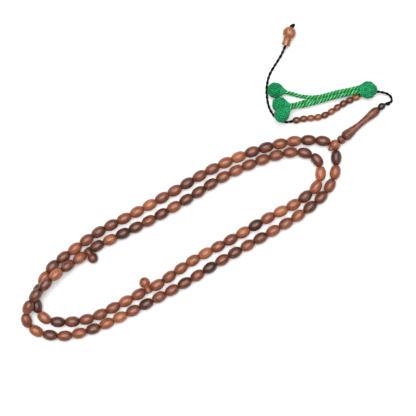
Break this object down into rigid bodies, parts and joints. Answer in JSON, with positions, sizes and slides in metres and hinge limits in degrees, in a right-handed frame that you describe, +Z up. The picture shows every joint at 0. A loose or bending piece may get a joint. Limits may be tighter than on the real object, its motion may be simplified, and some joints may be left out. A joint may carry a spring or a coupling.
{
  "type": "misbaha prayer beads",
  "caption": "Wooden misbaha prayer beads on one closed string laid in a double loop, with dividers, a turned imam, a green knotted rope tassel and counter beads on a black cord.",
  "frame": {"origin": "Centre of the beads', wood's and knots' outline seen from above, at the surface the misbaha lies on.", "axes": "+Z up from that surface; +X along the longer way of the laid-down loop, towards the imam; +Y across it, towards the tassel."},
  "size_m": [0.2415, 0.2063, 0.0138],
  "materials": {
    "bead_wood": "oiled and polished red-brown fruitwood",
    "light_wood": "oiled orange-brown fruitwood",
    "imam_wood": "finely turned, nearly matte",
    "dark_wood": "polished near-black wood",
    "black_cord": "twisted two-ply cord",
    "green_rope": "twisted rope and woven rope knots"
  },
  "bodies": {
    "beads": {"bead_run_1_4_to_8": "bead_wood", "bead_run_1_9_to_14": "bead_wood", "bead_run_1_15_to_19": "bead_wood", "bead_run_1_20_to_25": "bead_wood", "bead_run_1_26_to_30": "bead_wood", "bead_run_2_4_to_8": "bead_wood", "bead_run_2_9_to_14": "bead_wood", "bead_run_2_15_to_19": "bead_wood", "bead_run_2_20_to_25": "bead_wood", "bead_run_2_26_to_30": "bead_wood", "bead_run_3_4_to_8": "bead_wood", "bead_run_3_9_to_14": "bead_wood", "bead_run_3_15_to_19": "bead_wood", "bead_run_3_20_to_25": "bead_wood", "bead_run_3_26_to_30": "bead_wood", "imam_head": "light_wood"},
    "imam": {"imam_cord": "black_cord"},
    "imam_ring": {"imam_ring": "imam_wood"},
    "imam_body": {"imam_body": "imam_wood"},
    "stop_bead": {"stop_bead": "dark_wood"},
    "tassel": {"tassel_knot": "green_rope", "tail_cord": "black_cord", "stop_knot": "black_cord"},
    "strand_1": {"rope_1": "green_rope", "end_knot_1": "green_rope"},
    "strand_2": {"rope_2": "green_rope", "end_knot_2": "green_rope"},
    "strand_3": {"rope_3": "green_rope", "end_knot_3": "green_rope"},
    "end_cap": {"end_cap": "light_wood"},
    "divider_1": {"divider_1": "bead_wood"},
    "divider_2": {"divider_2": "bead_wood"},
    "counter_1": {"counter_1": "bead_wood"},
    "counter_2": {"counter_2": "bead_wood"},
    "counter_3": {"counter_3": "bead_wood"},
    "counter_4": {"counter_4": "bead_wood"},
    "counter_5": {"counter_5": "bead_wood"},
    "counter_6": {"counter_6": "bead_wood"},
    "counter_7": {"counter_7": "bead_wood"},
    "counter_8": {"counter_8": "bead_wood"},
    "counter_9": {"counter_9": "bead_wood"},
    "counter_10": {"counter_10": "bead_wood"},
    "bead_1_1": {"bead_1_1": "bead_wood"},
    "bead_1_2": {"bead_1_2": "bead_wood"},
    "bead_1_3": {"bead_1_3": "bead_wood"},
    "bead_1_31": {"bead_1_31": "bead_wood"},
    "bead_1_32": {"bead_1_32": "bead_wood"},
    "bead_1_33": {"bead_1_33": "bead_wood"},
    "bead_2_1": {"bead_2_1": "bead_wood"},
    "bead_2_2": {"bead_2_2": "bead_wood"},
    "bead_2_3": {"bead_2_3": "bead_wood"},
    "bead_2_31": {"bead_2_31": "bead_wood"},
    "bead_2_32": {"bead_2_32": "bead_wood"},
    "bead_2_33": {"bead_2_33": "bead_wood"},
    "bead_3_1": {"bead_3_1": "bead_wood"},
    "bead_3_2": {"bead_3_2": "bead_wood"},
    "bead_3_3": {"bead_3_3": "bead_wood"},
    "bead_3_31": {"bead_3_31": "bead_wood"},
    "bead_3_32": {"bead_3_32": "bead_wood"},
    "bead_3_33": {"bead_3_33": "bead_wood"}
  },
  "joints": [
    {"name": "imam_swing", "type": "hinge", "parent": "beads", "child": "imam", "pos_m": [0.0855, 0.02417, 0.0037], "axis": [0, 0, 1], "range_deg": [-60, 6]},
    {"name": "tassel_swing", "type": "hinge", "parent": "imam", "child": "tassel", "pos_m": [0.1125, 0.05867, 0.004], "axis": [0, 0, 1], "range_deg": [-35, 4]},
    {"name": "strand_1_lift", "type": "hinge", "parent": "tassel", "child": "strand_1", "pos_m": [0.1069, 0.05987, 0.005], "axis": [0, 1, 0], "range_deg": [0, 60]},
    {"name": "strand_2_lift", "type": "hinge", "parent": "tassel", "child": "strand_2", "pos_m": [0.1069, 0.05987, 0.005], "axis": [-0.165, 0.9863, 0], "range_deg": [0, 45]},
    {"name": "strand_3_lift", "type": "hinge", "parent": "strand_2", "child": "strand_3", "pos_m": [0.1069, 0.05987, 0.005], "axis": [-0.165, 0.9863, 0], "range_deg": [0, 45]},
    {"name": "end_cap_slide", "type": "slide", "parent": "tassel", "child": "end_cap", "axis": [-0.2882, -0.9529, -0.0941], "range_m": [0, 0.0045]},
    {"name": "divider_1_turn", "type": "hinge", "parent": "beads", "child": "divider_1", "pos_m": [-0.0361, -0.06983, 0.00345], "axis": [0.8994, 0.4371, 0], "range_deg": [0, 100]},
    {"name": "divider_2_turn", "type": "hinge", "parent": "beads", "child": "divider_2", "pos_m": [-0.0748, -0.04533, 0.00345], "axis": [-0.8144, -0.579, 0.0392], "range_deg": [0, 100]},
    {"name": "imam_ring_spin", "type": "hinge", "parent": "imam", "child": "imam_ring", "pos_m": [0.08951, 0.02748, 0.00359], "axis": [0.7712, 0.6363, -0.0216], "continuous": true},
    {"name": "imam_body_spin", "type": "hinge", "parent": "imam", "child": "imam_body", "pos_m": [0.10169, 0.03753, 0.00325], "axis": [0.7712, 0.6363, -0.0216], "continuous": true},
    {"name": "stop_bead_spin", "type": "hinge", "parent": "imam", "child": "stop_bead", "pos_m": [0.11581, 0.04918, 0.00285], "axis": [0.7712, 0.6363, -0.0216], "continuous": true},
    {"name": "counter_1_spin", "type": "hinge", "parent": "tassel", "child": "counter_1", "pos_m": [0.06053, 0.04028, 0.00225], "axis": [-0.9757, -0.2171, -0.0293], "continuous": true},
    {"name": "counter_2_spin", "type": "hinge", "parent": "tassel", "child": "counter_2", "pos_m": [0.06516, 0.04118, 0.00225], "axis": [-0.9895, -0.1445, 0], "continuous": true},
    {"name": "counter_3_spin", "type": "hinge", "parent": "tassel", "child": "counter_3", "pos_m": [0.06985, 0.04165, 0.00225], "axis": [-0.9941, -0.1089, 0], "continuous": true},
    {"name": "counter_4_spin", "type": "hinge", "parent": "tassel", "child": "counter_4", "pos_m": [0.07454, 0.04222, 0.00225], "axis": [-0.9806, -0.1962, 0], "continuous": true},
    {"name": "counter_5_spin", "type": "hinge", "parent": "tassel", "child": "counter_5", "pos_m": [0.07904, 0.0436, 0.00225], "axis": [-0.9222, -0.3868, 0], "continuous": true},
    {"name": "counter_6_spin", "type": "hinge", "parent": "tassel", "child": "counter_6", "pos_m": [0.08319, 0.04584, 0.00225], "axis": [-0.854, -0.5203, 0], "continuous": true},
    {"name": "counter_7_spin", "type": "hinge", "parent": "tassel", "child": "counter_7", "pos_m": [0.08711, 0.04848, 0.00225], "axis": [-0.8335, -0.5525, 0], "continuous": true},
    {"name": "counter_8_spin", "type": "hinge", "parent": "tassel", "child": "counter_8", "pos_m": [0.0911, 0.05099, 0.00225], "axis": [-0.864, -0.5034, -0.0031], "continuous": true},
    {"name": "counter_9_spin", "type": "hinge", "parent": "tassel", "child": "counter_9", "pos_m": [0.09529, 0.05316, 0.00229], "axis": [-0.8945, -0.4467, -0.0158], "continuous": true},
    {"name": "counter_10_spin", "type": "hinge", "parent": "tassel", "child": "counter_10", "pos_m": [0.09951, 0.05528, 0.0024], "axis": [-0.8723, -0.4791, -0.0976], "continuous": true},
    {"name": "bead_1_1_spin", "type": "hinge", "parent": "beads", "child": "bead_1_1", "pos_m": [0.07762, 0.02668, 0.00345], "axis": [-0.9911, 0.1316, -0.0186], "continuous": true},
    {"name": "bead_1_2_spin", "type": "hinge", "parent": "beads", "child": "bead_1_2", "pos_m": [0.06826, 0.02724, 0.00343], "axis": [-0.9999, -0.0099, 0.0028], "continuous": true},
    {"name": "bead_1_3_spin", "type": "hinge", "parent": "beads", "child": "bead_1_3", "pos_m": [0.05889, 0.02659, 0.00345], "axis": [-0.9918, -0.1282, 0.0008], "continuous": true},
    {"name": "bead_1_31_spin", "type": "hinge", "parent": "beads", "child": "bead_1_31", "pos_m": [-0.05881, -0.08173, 0.00345], "axis": [0.8899, 0.4561, 0], "continuous": true},
    {"name": "bead_1_32_spin", "type": "hinge", "parent": "beads", "child": "bead_1_32", "pos_m": [-0.05047, -0.0774, 0.00345], "axis": [0.8805, 0.474, 0], "continuous": true},
    {"name": "bead_1_33_spin", "type": "hinge", "parent": "beads", "child": "bead_1_33", "pos_m": [-0.0422, -0.07293, 0.00345], "axis": [0.8855, 0.4647, 0], "continuous": true},
    {"name": "bead_2_1_spin", "type": "hinge", "parent": "beads", "child": "bead_2_1", "pos_m": [-0.02999, -0.06681, 0.00345], "axis": [0.8658, 0.5004, 0], "continuous": true},
    {"name": "bead_2_2_spin", "type": "hinge", "parent": "beads", "child": "bead_2_2", "pos_m": [-0.02226, -0.06157, 0.00345], "axis": [0.8155, 0.5788, 0], "continuous": true},
    {"name": "bead_2_3_spin", "type": "hinge", "parent": "beads", "child": "bead_2_3", "pos_m": [-0.01465, -0.05615, 0.00345], "axis": [0.8202, 0.5721, 0], "continuous": true},
    {"name": "bead_2_31_spin", "type": "hinge", "parent": "beads", "child": "bead_2_31", "pos_m": [-0.05224, -0.03353, 0.00345], "axis": [-0.9027, -0.4302, 0], "continuous": true},
    {"name": "bead_2_32_spin", "type": "hinge", "parent": "beads", "child": "bead_2_32", "pos_m": [-0.06067, -0.03756, 0.00345], "axis": [-0.9038, -0.4279, 0], "continuous": true},
    {"name": "bead_2_33_spin", "type": "hinge", "parent": "beads", "child": "bead_2_33", "pos_m": [-0.06908, -0.04162, 0.00345], "axis": [-0.8715, -0.4903, -0.0059], "continuous": true},
    {"name": "bead_3_1_spin", "type": "hinge", "parent": "beads", "child": "bead_3_1", "pos_m": [-0.08032, -0.04943, 0.00413], "axis": [-0.8045, -0.563, 0.1892], "continuous": true},
    {"name": "bead_3_2_spin", "type": "hinge", "parent": "beads", "child": "bead_3_2", "pos_m": [-0.088, -0.05437, 0.00682], "axis": [-0.7934, -0.5378, 0.2851], "continuous": true},
    {"name": "bead_3_3_spin", "type": "hinge", "parent": "beads", "child": "bead_3_3", "pos_m": [-0.09536, -0.05992, 0.00919], "axis": [-0.7521, -0.6289, 0.1973], "continuous": true},
    {"name": "bead_3_31_spin", "type": "hinge", "parent": "beads", "child": "bead_3_31", "pos_m": [0.08217, -0.00247, 0.00345], "axis": [0.4946, 0.8691, 0], "continuous": true},
    {"name": "bead_3_32_spin", "type": "hinge", "parent": "beads", "child": "bead_3_32", "pos_m": [0.08563, 0.00636, 0.00345], "axis": [0.2054, 0.9787, -0.002], "continuous": true},
    {"name": "bead_3_33_spin", "type": "hinge", "parent": "beads", "child": "bead_3_33", "pos_m": [0.0863, 0.01585, 0.00345], "axis": [0.025, 0.9995, 0.018], "continuous": true}
  ]
}
